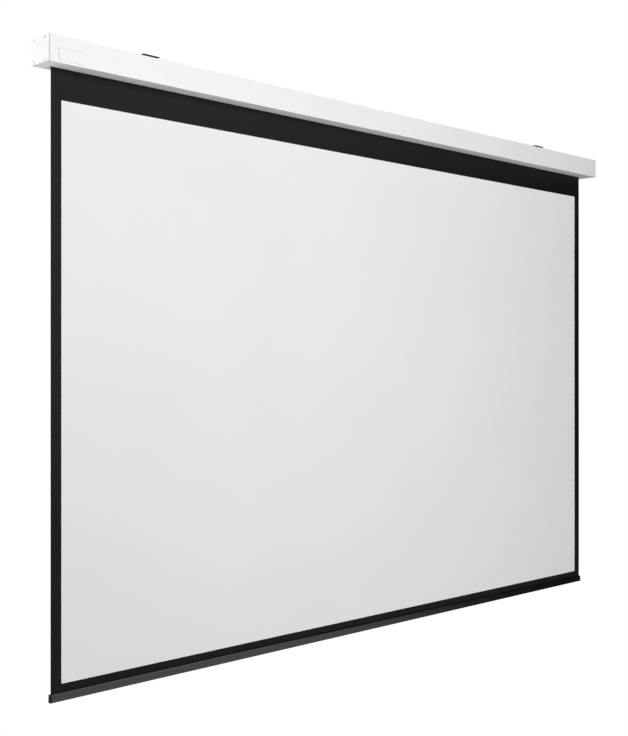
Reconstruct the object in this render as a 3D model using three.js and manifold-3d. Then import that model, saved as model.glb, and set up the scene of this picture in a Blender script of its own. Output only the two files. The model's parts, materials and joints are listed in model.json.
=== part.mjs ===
// A motorized projection screen: a white case that hangs from two black brackets, a tubular motor
// in a roller tube, a black-bordered projection surface and a weighted bottom bar.
// Millimetres. +X runs along the screen to the viewer's right, +Y away from the viewer, +Z up.
// The origin lies on the ceiling plane, midway along the case and midway through its depth.
import * as THREE from "three";
import { mergeVertices } from "three/addons/utils/BufferGeometryUtils.js";
import Module from "manifold-3d";

const wasm = await Module();
wasm.setup();

// Clearances
const seatGap = 0.3; // between a piece and what it rests on or beside
const turnGap = 0.35; // round a piece that turns in its seat
const cutOver = 2; // how far a cutter runs past what it cuts
const bite = 0.5; // how far joined walls run into each other

// Projection surface
const imageWidth = 3000;
const imageHeight = 1875;
const sideBorder = 40;
const topDrop = 100.8; // black fabric between the case and the image
const hemBorder = 27.4; // black fabric between the image and the bottom bar
const backingThick = 0.4;
const imageThick = 0.2;

// Case extrusion
const endOverhang = 50; // case past the fabric at each end
const caseDepth = 102;
const caseHeight = 84.6;
const caseWall = 1.8;
const caseCorner = 0.9;
const lipDrop = 0.3; // front and rear walls reach this far below the underside
const floorThick = 1.5;
const fabricSetback = 67; // from the front face to the fabric
const slotAhead = 5; // slot in front of the fabric
const slotBehind = 7; // slot behind the fabric
const ledgeDepth = 8; // shelf inside the front wall that carries the bottom cover
const catchDepth = 5; // rib above the cover's tongue
const floorTurnUp = 4; // stiffening edges along the slot
const screwChannelInset = 20; // end screws, from the front and rear faces
const screwChannelHeight = 7.1; // end screws, from the top and bottom edges
const screwChannelWall = 1.5;
const screwChannelSlot = 1.6;
const webThick = 1.4;

// Rails on top of the case, and the brackets that grip them
const railLip = 1.5;
const railSpace = 2; // free height under a rail's lip
const railWeb = 1.5;
const railLipReach = 7.7;
const railInset = 25; // from the case's middle to a rail's inner face
const bracketSteel = 2;
const bracketWidth = 68;
const bracketFromLeftEnd = 401;
const bracketFromRightEnd = 494;
const bracketRearRoom = 13; // between the case's back and the bracket's wall flange
const bracketFlange = 42;
const bracketBend = 3;
const bracketEdgeRadius = 3;
const hookSteel = 1.4;
const hookWidth = 40;
const slotHoleWidth = 6.5;
const slotHoleLength = 16;
const ceilingSlotSpread = 12; // slotted holes, from the case's middle
const wallSlotSpread = 18;
const wallSlotDrop = 22;
const jawWidth = 36;
const jawEarThick = 3.4;
const clampCollar = 1.2;
const clampCollarWall = 1.6;
const clampShank = 2.4;
const clampHead = 4.25;
const clampHeadHeight = 5;
const clampSocket = 2.3;
const clampSocketDepth = 2.6;

// End caps and their screws
const capPlate = 3;
const capRebate = 1.2; // shadow gap between cap and extrusion, along X
const capRebateInset = 1.6;
const capEdge = 0.4;
const lugFromFabric = 6; // lug that closes the slot beside the fabric
const endScrewShank = 1.8;
const endScrewLength = 18;
const countersunkHead = 3.7;
const countersunkDepth = 2.2;
const recessWidth = 0.8;
const recessSpan = 3.6;
const recessDepth = 1.1;

// Badge plate on the front, left bare
const badgeWidth = 88.6;
const badgeHeight = 38.8;
const badgeThick = 2;
const badgeCorner = 4.5;
const badgeFromEnd = 36.7;
const badgeAboveEdge = 7.1;

// Roller tube and the fabric on it
const tubeRadius = 25;
const tubeWall = 1.5;
const tubeSpare = 10; // tube past the fabric at each end
const rollerDrop = 42.7; // from the case's top to the roller's axis
const kederRadius = 1.4;
const kederWall = 1.2;
const kederSlot = 1.6;
const turnsKept = 1.4; // turns of fabric that stay on the tube
const layerPitch = 0.5;

// Tubular motor
const motorRadius = 17.5;
const motorWall = 1.2;
const motorLength = 452;
const headRadius = 22.5;
const headEdge = 1.5;
const headSpigot = 11;
const stubSide = 12;
const stubEndGap = 1;
const stubGroove = 1;
const clipThick = 1.2;
const clipArm = 5.7;
const gearboxLength = 186;
const motorUnitEdge = 1.5;
const gearboxFlange = 3;
const shaftRadius = 6;
const shaftInGearbox = 28;
const shaftSide = 10;
const driveWheelLength = 25;
const wheelHoleRadius = 3.2;
const wheelHoleCircle = 14.5;
const wheelHoles = 6;
const crownSleeve = 20;
const crownFlange = 1.8;
const limitScrewRadius = 2.3;
const limitScrewLength = 10;
const limitScrewSpread = 8;
const limitScrewSink = 0.4;
const limitSocket = 1.3;
const limitSocketDepth = 3;

// Brackets inside the end caps, one for the motor and one for the idler
const hatStandoff = 8;
const hatSteel = 2;
const hatHalfHeight = 20;
const hatFoot = 13;
const hatWidth = 32;
const footScrewShank = 1.7;
const footScrewBite = 2.7; // into the end cap
const footScrewHead = 3.6;
const footScrewHeadHeight = 2.2;

// Idler end
const plugLength = 40;
const plugFlange = 3;
const plugCollar = 9;
const pinRadius = 5;
const pinInPlug = 35;
const pinEndGap = 3;
const bushFlange = 11;
const bushFlangeThick = 2.3;
const bushWall = 2.65;
const bushTail = 1.7;

// Wiring inside the left end
const terminalWidth = 32;
const terminalDepth = 16;
const terminalHeight = 18;
const terminalFromCap = 4;
const terminalDrop = 20.2; // from the case's top to the block's top
const wellRadius = 1.8;
const wellDepth = 4;
const wellSpacing = 8;
const terminalScrewFromEdge = 8;
const terminalScrewShank = 1.4;
const terminalScrewHead = 2.8;
const terminalScrewHeadHeight = 1.6;
const terminalScrewRecess = 0.7;
const leadRadius = 2.5;
const leadSocketDepth = 4;
const leadHeight = 6; // lead's exit above the motor's axis
const leadEntryFromEdge = 9;
const leadEntryDrop = 10;
const leadStraight = 5;
const leadSteps = 16;
const leadSides = 8;
const leadPullShare = 1.6;
const grommetBore = 3.5;
const grommetNeck = 5;
const grommetFlange = 7;
const grommetFlangeThick = 2;
const grommetFromCap = 23.8;
const grommetFromRear = 9;

// Bottom bar
const barHeight = 26.4;
const barTopDepth = 12;
const barBottomDepth = 15;
const barWall = 1.5;
const barCorner = 1.2;
const barSlot = 2.4;
const barCapThick = 4;
const barPlugLength = 15;
const barPlugHeight = 12;
const hemRodRadius = 3;
const hemRodShort = 10; // rod ends this far inside the fabric's edge

// Facets
const tubeSides = 36;
const rodSides = 20;
const smallSides = 14;
const shankSides = 10;
const hexSides = 6;
const turnSteps = 40;
const cornerSteps = 3;
const mergeWithin = 1e-3;

// Places worked out from the sizes above
const fabricWidth = imageWidth + 2 * sideBorder;
const halfFabric = fabricWidth / 2;
const halfCase = halfFabric + endOverhang;
const halfShell = halfCase - capPlate - capRebate;
const caseTop = -(bracketSteel + seatGap + railLip + railSpace);
const caseBottom = caseTop - caseHeight;
const underside = caseBottom + lipDrop;
const floorTop = underside + floorThick;
const caseFront = -caseDepth / 2;
const caseRear = caseDepth / 2;
const wallFront = caseFront + caseWall;
const wallRear = caseRear - caseWall;
const fabricY = caseFront + fabricSetback;
const slotFront = fabricY - slotAhead;
const slotRear = fabricY + slotBehind;
const imageTop = underside - topDrop;
const imageBottom = imageTop - imageHeight;
const barTop = imageBottom - hemBorder;
const barBottom = barTop - barHeight;
const firstLayer = tubeRadius + seatGap + backingThick / 2;
const outerLayer = firstLayer + turnsKept * layerPitch;
const rollerY = fabricY - outerLayer;
const rollerZ = caseTop - rollerDrop;
const halfTube = halfFabric + tubeSpare;
const tubeBore = tubeRadius - tubeWall;
const kederChamber = kederRadius + turnGap;
const kederBoss = kederChamber + kederWall;
const kederCircle = tubeRadius - kederBoss;
const kederAngle = 2 * Math.PI * turnsKept;
const hubRadius = tubeBore - seatGap; // wheels that fit inside the roller tube
const hatOuter = halfShell - hatStandoff; // faces of a hat bracket's raised plate
const hatInner = hatOuter - hatSteel;
const channelY = caseDepth / 2 - screwChannelInset;
const channelTop = caseTop - screwChannelHeight;
const channelBottom = caseBottom + screwChannelHeight;
const channelBore = endScrewShank + seatGap;
const channelRadius = channelBore + screwChannelWall;
const channels = [
  [-channelY, channelTop],
  [channelY, channelTop],
  [-channelY, channelBottom],
  [channelY, channelBottom],
];
const motorLeft = -(halfTube + 2 * seatGap + crownFlange); // where the motor's tube leaves its head
const motorRight = motorLeft + motorLength;
const wheelLeft = motorRight + gearboxFlange + 2 * seatGap;
const footScrewZ = hatHalfHeight + hatFoot / 2;
const hemRadius = hemRodRadius + seatGap + backingThick;
const hemZ = barTop - barWall - seatGap - hemRadius;

// Finishes
const whitePaint = { color: 0xf2f2f2, roughness: 0.42, metalness: 0 };
const whitePlastic = { color: 0xf4f4f4, roughness: 0.45, metalness: 0 };
const blackSteel = { color: 0x151515, roughness: 0.5, metalness: 0.2 };
const blackBar = { color: 0x2b2b2b, roughness: 0.45, metalness: 0.4 };
const blackPlastic = { color: 0x101010, roughness: 0.55, metalness: 0 };
const zincSteel = { color: 0xb4b6b8, roughness: 0.35, metalness: 1 };
const bareAluminium = { color: 0xc4c6c8, roughness: 0.4, metalness: 1 };
const greyNylon = { color: 0x8b8e90, roughness: 0.6, metalness: 0 };
const nylonWhite = { color: 0xdedcd4, roughness: 0.55, metalness: 0 };
const yellowPlastic = { color: 0xd8b22c, roughness: 0.5, metalness: 0 };
const blackRubber = { color: 0x161616, roughness: 0.8, metalness: 0 };
const blackFabric = { color: 0x1c1c1c, roughness: 0.85, metalness: 0 };
const matteWhite = { color: 0xe9e9e9, roughness: 0.9, metalness: 0 };

const screen = new THREE.Group();

// Turns a closed three.js geometry into a solid that can be cut and joined.
function solid(geometry) {
  const bare = geometry.index ? geometry.toNonIndexed() : geometry.clone();
  bare.deleteAttribute("normal");
  bare.deleteAttribute("uv");
  const merged = mergeVertices(bare, mergeWithin);
  return new wasm.Manifold(
    new wasm.Mesh({
      numProp: 3,
      vertProperties: merged.attributes.position.array,
      triVerts: new Uint32Array(merged.index.array),
    }),
  );
}

// Adds a named sub-part to the screen; its place is that of its own origin.
function addPart(name, shape, finish, place = [0, 0, 0], turn = [0, 0, 0]) {
  const made = shape.getMesh();
  const geometry = new THREE.BufferGeometry();
  geometry.setAttribute("position", new THREE.BufferAttribute(made.vertProperties.slice(), 3));
  geometry.setIndex(new THREE.BufferAttribute(made.triVerts.slice(), 1));
  geometry.computeVertexNormals();
  const mesh = new THREE.Mesh(geometry, new THREE.MeshStandardMaterial(finish));
  mesh.name = name;
  mesh.position.set(...place);
  mesh.rotation.set(...turn);
  screen.add(mesh);
}

function block([x0, x1], [y0, y1], [z0, z1]) {
  const box = new THREE.BoxGeometry(Math.abs(x1 - x0), Math.abs(y1 - y0), Math.abs(z1 - z0));
  return solid(box.translate((x0 + x1) / 2, (y0 + y1) / 2, (z0 + z1) / 2));
}

// A round bar, or a cone when its two ends differ, along one axis; the centre is given on the
// other two axes, in X, Y, Z order.
function round(axis, [from, to], [radius, endRadius], [a, b], sides) {
  const low = from < to ? radius : endRadius;
  const high = from < to ? endRadius : radius;
  const body = new THREE.CylinderGeometry(high, low, Math.abs(to - from), sides);
  const middle = (from + to) / 2;
  if (axis === "x") body.rotateZ(-Math.PI / 2).translate(middle, a, b);
  if (axis === "y") body.translate(a, middle, b);
  if (axis === "z") body.rotateX(Math.PI / 2).translate(a, b, middle);
  return solid(body);
}

function bar(axis, span, radius, centre, sides = tubeSides) {
  return round(axis, span, [radius, radius], centre, sides);
}

// A closed outline with its corners rounded.
function roundedOutline(points, radius) {
  const outline = new THREE.Shape();
  points.forEach(([x, y], i) => {
    const corner = new THREE.Vector2(x, y);
    const before = new THREE.Vector2(...points.at(i - 1)).sub(corner).setLength(radius).add(corner);
    const after = new THREE.Vector2(...points[(i + 1) % points.length]).sub(corner);
    after.setLength(radius).add(corner);
    if (i === 0) outline.moveTo(before.x, before.y);
    else outline.lineTo(before.x, before.y);
    outline.quadraticCurveTo(corner.x, corner.y, after.x, after.y);
  });
  outline.closePath();
  return outline;
}

function rectangle([a0, a1], [b0, b1]) {
  return [[a0, b0], [a1, b0], [a1, b1], [a0, b1]];
}

function polygon(points) {
  return new THREE.Shape(points.map(([a, b]) => new THREE.Vector2(a, b)));
}

// An outline drawn in Y and Z, drawn out along X.
function prismX(outline, [x0, x1], edge = 0) {
  const geometry = new THREE.ExtrudeGeometry(outline, {
    depth: x1 - x0 - 2 * edge,
    curveSegments: cornerSteps,
    bevelEnabled: edge > 0,
    bevelThickness: edge,
    bevelSize: edge,
    bevelOffset: -edge,
    bevelSegments: 1,
  });
  const turn = new THREE.Matrix4().makeBasis(
    new THREE.Vector3(0, 1, 0),
    new THREE.Vector3(0, 0, 1),
    new THREE.Vector3(1, 0, 0),
  );
  return solid(geometry.applyMatrix4(turn).translate(x0 + edge, 0, 0));
}

// An outline drawn in X and Z, drawn out along Y.
function prismY(outline, [y0, y1], edge = 0) {
  const geometry = new THREE.ExtrudeGeometry(outline, {
    depth: y1 - y0 - 2 * edge,
    curveSegments: cornerSteps,
    bevelEnabled: edge > 0,
    bevelThickness: edge,
    bevelSize: edge,
    bevelOffset: -edge,
    bevelSegments: 1,
  });
  return solid(geometry.rotateX(Math.PI / 2).translate(0, y1 - edge, 0));
}

function joined(first, ...others) {
  return others.reduce((whole, next) => whole.add(next), first);
}

function cut(whole, ...cutters) {
  return cutters.reduce((left, cutter) => left.subtract(cutter), whole);
}

// A span along X from the case's middle outwards, to the left (side -1) or the right (side 1).
function along(side, a, b) {
  return side < 0 ? [-Math.max(a, b), -Math.min(a, b)] : [Math.min(a, b), Math.max(a, b)];
}

// A cross recess, cut into a screw head whose top is at height zero.
function crossRecess(span, width, depth) {
  const arm = [-span / 2, span / 2];
  const thin = [-width / 2, width / 2];
  return block(arm, thin, [-depth, cutOver]).add(block(thin, arm, [-depth, cutOver]));
}

// Screws stand on their own Z axis, with the top of the head at zero and the shank below it.
function countersunkScrew(headRadius, headDepth, shankRadius, length) {
  const head = round("z", [0, -headDepth], [headRadius, shankRadius], [0, 0], smallSides);
  const shank = bar("z", [-length, -headDepth + bite], shankRadius, [0, 0], shankSides);
  return cut(head.add(shank), crossRecess(recessSpan, recessWidth, recessDepth));
}

function panScrew(headRadius, headHeight, shankRadius, length, width) {
  const crown = headHeight / 2;
  const low = bar("z", [-headHeight, -crown], headRadius, [0, 0], smallSides);
  const dome = round("z", [0, -crown - bite / 2], [headRadius - crown / 2, headRadius], [0, 0],
    smallSides);
  const shank = bar("z", [-length, -crown], shankRadius, [0, 0], shankSides);
  return cut(joined(low, dome, shank), crossRecess(headRadius, width, crown));
}

function caseShell() {
  const full = [-halfShell, halfShell];
  const frontEdge = wallFront - bite;
  const rearEdge = wallRear + bite;
  const outline = rectangle([caseFront, caseRear], [caseBottom, caseTop]);
  const walls = cut(
    prismX(roundedOutline(outline, caseCorner), full),
    block([-halfCase, halfCase], [wallFront, wallRear], [caseBottom - cutOver, caseTop - caseWall]),
  );
  const catchBottom = floorTop + 2 * seatGap + floorThick;
  const floor = [
    block(full, [frontEdge, wallFront + ledgeDepth], [underside, floorTop]),
    block(full, [frontEdge, wallFront + catchDepth], [catchBottom, catchBottom + floorThick]),
    block(full, [slotRear, rearEdge], [underside, floorTop]),
    block(full, [slotRear, slotRear + floorThick], [underside, floorTop + floorTurnUp]),
  ];
  const half = webThick / 2;
  const webs = [
    block(full, [frontEdge, -channelY], [channelBottom - half, channelBottom + half]),
    block(full, [channelY - half, channelY + half], [underside + bite, channelBottom]),
    block(full, [-channelY - half, -channelY + half], [channelTop, caseTop - caseWall + bite]),
    block(full, [channelY - half, channelY + half], [channelTop, caseTop - caseWall + bite]),
  ];
  const bosses = channels.map((place) => bar("x", full, channelRadius, place, smallSides));
  const past = [-halfCase, halfCase];
  const bores = channels.map((place) => bar("x", past, channelBore, place, shankSides));
  const openings = channels.map(([y, z]) => {
    const towards = z === channelTop ? -1 : 1;
    const reach = [z, z + towards * (channelRadius + cutOver)].sort((p, q) => p - q);
    return block(past, [y - screwChannelSlot / 2, y + screwChannelSlot / 2], reach);
  });
  const rails = [-1, 1].flatMap((side) => {
    const inner = side * railInset;
    const web = [inner, side * (railInset + railWeb)].sort((p, q) => p - q);
    const lip = [inner, side * (railInset + railWeb + railLipReach)].sort((p, q) => p - q);
    const lipBottom = caseTop + railSpace;
    return [
      block(full, web, [caseTop - bite, lipBottom + railLip]),
      block(full, lip, [lipBottom, lipBottom + railLip]),
    ];
  });
  const outlet = bar("z", [caseTop - caseWall - cutOver, caseTop + bite], grommetNeck + seatGap,
    grommetPlace(), rodSides);
  const terminalHole = bar("y", [wallRear - cutOver, caseRear + cutOver],
    terminalScrewShank + seatGap, [terminalScrewX(), terminalMiddle()], shankSides);
  return cut(joined(walls, ...floor, ...webs, ...bosses, ...rails),
    ...bores, ...openings, outlet, terminalHole);
}

// The strip under the case in front of the slot: its tongue slides into the front wall's groove.
function bottomCover() {
  const full = [-halfShell + seatGap, halfShell - seatGap];
  const riser = wallFront + ledgeDepth + seatGap;
  const tongueLow = floorTop + seatGap;
  return joined(
    block(full, [riser, slotFront], [underside, floorTop]),
    block(full, [riser, riser + floorThick], [underside, tongueLow + floorThick]),
    block(full, [wallFront + seatGap, riser + floorThick], [tongueLow, tongueLow + floorThick]),
    block(full, [slotFront - floorThick, slotFront], [underside, floorTop + floorTurnUp]),
  );
}

function endCap(side) {
  const outline = rectangle([caseFront, caseRear], [caseBottom, caseTop]);
  const inset = rectangle(
    [caseFront + capRebateInset, caseRear - capRebateInset],
    [caseBottom + capRebateInset, caseTop - capRebateInset],
  );
  const plate = prismX(roundedOutline(outline, caseCorner),
    along(side, halfShell + capRebate, halfCase), capEdge);
  const rebate = prismX(polygon(inset), along(side, halfShell, halfShell + capRebate + bite));
  const lug = block(along(side, halfFabric + lugFromFabric, halfShell + capRebate + bite),
    [slotFront + seatGap, slotRear - seatGap], [underside, floorTop]);
  const holes = channels.flatMap((place) => {
    const head = countersunkHead + seatGap;
    const shank = endScrewShank + seatGap;
    const deep = halfCase - countersunkDepth;
    return [
      bar("x", along(side, halfShell - cutOver, halfCase + cutOver), shank, place, shankSides),
      round("x", [side * deep, side * halfCase], [shank, head], place, smallSides),
      bar("x", along(side, halfCase - bite / 2, halfCase + cutOver), head, place, smallSides),
    ];
  });
  const footHoles = [-1, 1].map((way) =>
    bar("x", along(side, halfShell - cutOver, halfShell + footScrewBite + seatGap),
      footScrewShank + seatGap, [rollerY, rollerZ + way * footScrewZ], shankSides));
  return cut(joined(plate, rebate, lug), ...holes, ...footHoles);
}

function badgePlate() {
  const left = -halfCase + badgeFromEnd;
  const low = caseBottom + badgeAboveEdge;
  const outline = rectangle([left, left + badgeWidth], [low, low + badgeHeight]);
  return prismY(roundedOutline(outline, badgeCorner), [caseFront - badgeThick, caseFront], capEdge);
}

// The raised steel bracket that stands inside an end cap, before its middle hole is cut.
function hatBracket(side) {
  const outer = side * halfShell;
  const foot = side * (halfShell - hatSteel);
  const top = hatHalfHeight + hatFoot;
  const wall = hatHalfHeight - hatSteel;
  const outline = [
    [outer, top], [foot, top], [foot, hatHalfHeight], [side * hatInner, hatHalfHeight],
    [side * hatInner, -hatHalfHeight], [foot, -hatHalfHeight], [foot, -top], [outer, -top],
    [outer, -wall], [side * hatOuter, -wall], [side * hatOuter, wall], [outer, wall],
  ].map(([x, z]) => [x, rollerZ + z]);
  const hat = prismY(polygon(outline), [rollerY - hatWidth / 2, rollerY + hatWidth / 2]);
  const holes = [-1, 1].map((way) =>
    bar("x", along(side, foot * side - cutOver, halfShell + cutOver), footScrewShank + seatGap,
      [rollerY, rollerZ + way * footScrewZ], shankSides));
  return cut(hat, ...holes);
}

function motorBracket() {
  const half = stubSide / 2 + seatGap;
  const square = block(along(-1, hatInner - cutOver, hatOuter + cutOver),
    [rollerY - half, rollerY + half], [rollerZ - half, rollerZ + half]);
  return hatBracket(-1).subtract(square);
}

function idlerBracket() {
  const hole = bar("x", [hatInner - cutOver, hatOuter + cutOver], bushBarrel() + seatGap,
    [rollerY, rollerZ], rodSides);
  return hatBracket(1).subtract(hole);
}

function bushBarrel() {
  return pinRadius + turnGap + bushWall;
}

function idlerBush() {
  const faceX = hatInner - seatGap;
  const centre = [rollerY, rollerZ];
  const bush = joined(
    bar("x", [faceX - bushFlangeThick, faceX], bushFlange, centre, rodSides),
    bar("x", [faceX - bite, hatOuter + bushTail], bushBarrel(), centre, rodSides),
  );
  const past = [faceX - bushFlangeThick - cutOver, halfCase];
  return bush.subtract(bar("x", past, pinRadius + turnGap, centre, rodSides));
}

// The groove cutter that lets a wheel pass the roller tube's keder boss.
function kederNotch([x0, x1]) {
  const place = onCircle(kederCircle, kederAngle);
  return bar("x", [x0 - cutOver, x1 + cutOver], kederBoss + seatGap, place, smallSides);
}

function onCircle(radius, angle) {
  return [rollerY + radius * Math.cos(angle), rollerZ + radius * Math.sin(angle)];
}

// A box that lies along a ray from the roller's axis, drawn out along X.
function rayBlock(span, [near, far], width, angle) {
  const across = [-Math.sin(angle) * width / 2, Math.cos(angle) * width / 2];
  const corner = (radius, way) => {
    const [y, z] = onCircle(radius, angle);
    return [y + way * across[0], z + way * across[1]];
  };
  return prismX(polygon([corner(near, -1), corner(far, -1), corner(far, 1), corner(near, 1)]), span);
}

function rollerTube() {
  const span = [-halfTube, halfTube];
  const past = [-halfTube - cutOver, halfTube + cutOver];
  const centre = [rollerY, rollerZ];
  const boss = onCircle(kederCircle, kederAngle);
  const ring = bar("x", span, tubeRadius, centre).subtract(bar("x", past, tubeBore, centre));
  const whole = ring.add(bar("x", span, kederBoss, boss, smallSides));
  return cut(
    whole,
    bar("x", past, kederChamber, boss, smallSides),
    rayBlock(past, [kederCircle, tubeRadius + cutOver], kederSlot, kederAngle),
  );
}

// Fabric left on the tube: a spiral that ends where the hanging sheet begins, with a tail that
// goes into the groove.
function woundFabric() {
  const steps = Math.round(turnSteps * turnsKept);
  const side = (offset) =>
    Array.from({ length: steps + 1 }, (_, i) => {
      const share = i / steps;
      const radius = outerLayer - share * turnsKept * layerPitch + offset;
      return onCircle(radius, share * kederAngle);
    });
  const outline = [...side(backingThick / 2), ...side(-backingThick / 2).reverse()];
  const span = [-halfFabric, halfFabric];
  const tailEnd = kederCircle + kederRadius + seatGap;
  const tail = rayBlock(span, [tailEnd, firstLayer], backingThick, kederAngle);
  return prismX(polygon(outline), span).add(tail);
}

function keder() {
  return bar("x", [-halfFabric, halfFabric], kederRadius, onCircle(kederCircle, kederAngle), smallSides);
}

function motorHead() {
  const centre = [rollerY, rollerZ];
  const outer = -hatInner + seatGap;
  const edge = headRadius - headEdge;
  const stubEnd = -halfShell + stubEndGap;
  const half = stubSide / 2;
  const neck = half - stubGroove;
  const groove = [-hatOuter - clipThick - 2 * seatGap, -hatOuter];
  const square = (span, size) =>
    block(span, [rollerY - size, rollerY + size], [rollerZ - size, rollerZ + size]);
  const body = joined(
    round("x", [outer, outer + headEdge], [edge, headRadius], centre, tubeSides),
    bar("x", [outer + headEdge, motorLeft - headEdge], headRadius, centre),
    round("x", [motorLeft - headEdge, motorLeft], [headRadius, edge], centre, tubeSides),
    bar("x", [motorLeft - bite, motorLeft + headSpigot], motorRadius - motorWall - seatGap, centre),
    square([stubEnd, groove[0]], half),
    square([groove[0] - bite, groove[1] + bite], neck),
    square([groove[1], outer + bite], half),
  );
  const sockets = limitScrewPlaces().map((x) =>
    bar("z", [rollerZ - headRadius - cutOver, limitScrewTop() + seatGap],
      limitScrewRadius + turnGap, [x, rollerY], smallSides));
  const [leadX, leadY, leadZ] = leadStart();
  const leadSocket = bar("y", [leadY - seatGap, leadY + headRadius], leadRadius + seatGap,
    [leadX, leadZ], smallSides);
  return cut(body, ...sockets, leadSocket);
}

function headMiddle() {
  return (motorLeft - hatInner + seatGap) / 2;
}

function limitScrewPlaces() {
  return [headMiddle() - limitScrewSpread / 2, headMiddle() + limitScrewSpread / 2];
}

// The outer face of a limit screw lies just inside the lowest line of the motor's head.
function limitScrewTop() {
  return rollerZ - headRadius + limitScrewSink + limitScrewLength;
}

function limitScrew() {
  const screw = bar("z", [-limitScrewLength, 0], limitScrewRadius, [0, 0], smallSides);
  return screw.subtract(bar("z", [-limitSocketDepth, cutOver], limitSocket, [0, 0], hexSides));
}

function retainingClip() {
  const gap = stubSide / 2 - stubGroove + seatGap;
  const reach = gap + clipArm;
  const outline = [
    [-reach, -reach], [reach, -reach], [reach, reach], [gap, reach],
    [gap, -gap], [-gap, -gap], [-gap, reach], [-reach, reach],
  ].map(([y, z]) => [rollerY + y, rollerZ + z]);
  return prismX(polygon(outline), [-hatOuter - clipThick - seatGap, -hatOuter - seatGap]);
}

function motorTube() {
  const centre = [rollerY, rollerZ];
  const span = [motorLeft + seatGap, motorRight];
  return bar("x", span, motorRadius, centre).subtract(
    bar("x", [span[0] - cutOver, span[1] + cutOver], motorRadius - motorWall, centre));
}

// The motor unit and the gearbox are cartridges that fill the steel tube end to end.
function cartridge([x0, x1]) {
  const centre = [rollerY, rollerZ];
  const radius = motorRadius - motorWall - seatGap;
  const edge = radius - motorUnitEdge;
  return joined(
    round("x", [x0, x0 + motorUnitEdge], [edge, radius], centre, rodSides),
    bar("x", [x0 + motorUnitEdge, x1 - motorUnitEdge], radius, centre, rodSides),
    round("x", [x1 - motorUnitEdge, x1], [radius, edge], centre, rodSides),
  );
}

function motorUnit() {
  return cartridge([motorLeft + headSpigot + seatGap, motorRight - gearboxLength - seatGap]);
}

function gearbox() {
  const centre = [rollerY, rollerZ];
  const flangeX = motorRight + seatGap;
  const neck = motorRadius - 2 * motorUnitEdge - motorWall;
  const body = joined(
    cartridge([motorRight - gearboxLength, motorRight]),
    bar("x", [motorRight - motorUnitEdge - bite, flangeX + bite], neck, centre, rodSides),
    bar("x", [flangeX, flangeX + gearboxFlange], motorRadius, centre),
  );
  return body.subtract(bar("x", [motorRight - shaftInGearbox, wheelLeft + cutOver],
    shaftRadius + turnGap, centre, rodSides));
}

function outputShaft() {
  const half = shaftSide / 2;
  const square = block([wheelLeft, wheelLeft + driveWheelLength], [rollerY - half, rollerY + half],
    [rollerZ - half, rollerZ + half]);
  const journal = bar("x", [motorRight - shaftInGearbox + turnGap, wheelLeft + bite / 2],
    shaftRadius, [rollerY, rollerZ], rodSides);
  return journal.add(square);
}

function driveWheel() {
  const span = [wheelLeft + bite, wheelLeft + driveWheelLength];
  const past = [span[0] - cutOver, span[1] + cutOver];
  const half = shaftSide / 2 + seatGap;
  const holes = Array.from({ length: wheelHoles }, (_, i) => {
    const angle = kederAngle + (2 * Math.PI * (i + 1 / 2)) / wheelHoles;
    return bar("x", past, wheelHoleRadius, onCircle(wheelHoleCircle, angle), shankSides);
  });
  const square = block(past, [rollerY - half, rollerY + half], [rollerZ - half, rollerZ + half]);
  return cut(bar("x", span, hubRadius, [rollerY, rollerZ]), square, kederNotch(span), ...holes);
}

// The ring that the roller tube's motor end turns on.
function limitCrown() {
  const centre = [rollerY, rollerZ];
  const flange = [-halfTube - seatGap - crownFlange, -halfTube - seatGap];
  const sleeve = [flange[1] - bite, -halfTube + crownSleeve];
  const bore = bar("x", [flange[0] - cutOver, sleeve[1] + cutOver], motorRadius + turnGap, centre);
  const notch = kederNotch([sleeve[0] + bite + cutOver, sleeve[1]]);
  const notched = bar("x", sleeve, hubRadius, centre).subtract(notch);
  return notched.add(bar("x", flange, tubeRadius, centre)).subtract(bore);
}

function idlerPlug() {
  const centre = [rollerY, rollerZ];
  const flange = [halfTube + seatGap, halfTube + seatGap + plugFlange];
  const body = [halfTube - plugLength, flange[0] + bite];
  const collarEnd = hatInner - seatGap - bushFlangeThick - seatGap;
  const notch = kederNotch([body[0], halfTube - cutOver]);
  const notched = bar("x", body, hubRadius, centre).subtract(notch);
  const whole = joined(
    notched,
    bar("x", flange, tubeRadius, centre),
    bar("x", [flange[1] - bite, collarEnd], plugCollar, centre, rodSides),
  );
  const past = [halfTube - pinInPlug - seatGap, halfCase];
  return whole.subtract(bar("x", past, pinRadius + seatGap, centre, rodSides));
}

function idlerPin() {
  const span = [halfTube - pinInPlug, halfShell - pinEndGap];
  return bar("x", span, pinRadius, [rollerY, rollerZ], rodSides);
}

function terminalLeft() {
  return -halfShell + terminalFromCap;
}

function terminalTop() {
  return caseTop - terminalDrop;
}

function terminalMiddle() {
  return terminalTop() - terminalHeight / 2;
}

function terminalScrewX() {
  return terminalLeft() + terminalWidth - terminalScrewFromEdge;
}

function terminalBlock() {
  const left = terminalLeft();
  const top = terminalTop();
  const face = wallRear - terminalDepth;
  const [leadX, , leadZ] = leadEnd();
  const wells = [-1, 0, 1].map((i) =>
    bar("z", [top - wellDepth, top + cutOver], wellRadius,
      [left + terminalWidth / 2 + i * wellSpacing, wallRear - terminalDepth / 2], shankSides));
  const headSeat = terminalScrewHead + seatGap;
  return cut(
    block([left, left + terminalWidth], [face, wallRear], [top - terminalHeight, top]),
    ...wells,
    bar("y", [face - cutOver, face + leadSocketDepth], leadRadius + seatGap, [leadX, leadZ],
      smallSides),
    bar("y", [face - cutOver, wallRear + cutOver], terminalScrewShank + seatGap,
      [terminalScrewX(), terminalMiddle()], shankSides),
    bar("y", [face - cutOver, face + terminalScrewHeadHeight], headSeat,
      [terminalScrewX(), terminalMiddle()], smallSides),
  );
}

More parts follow.
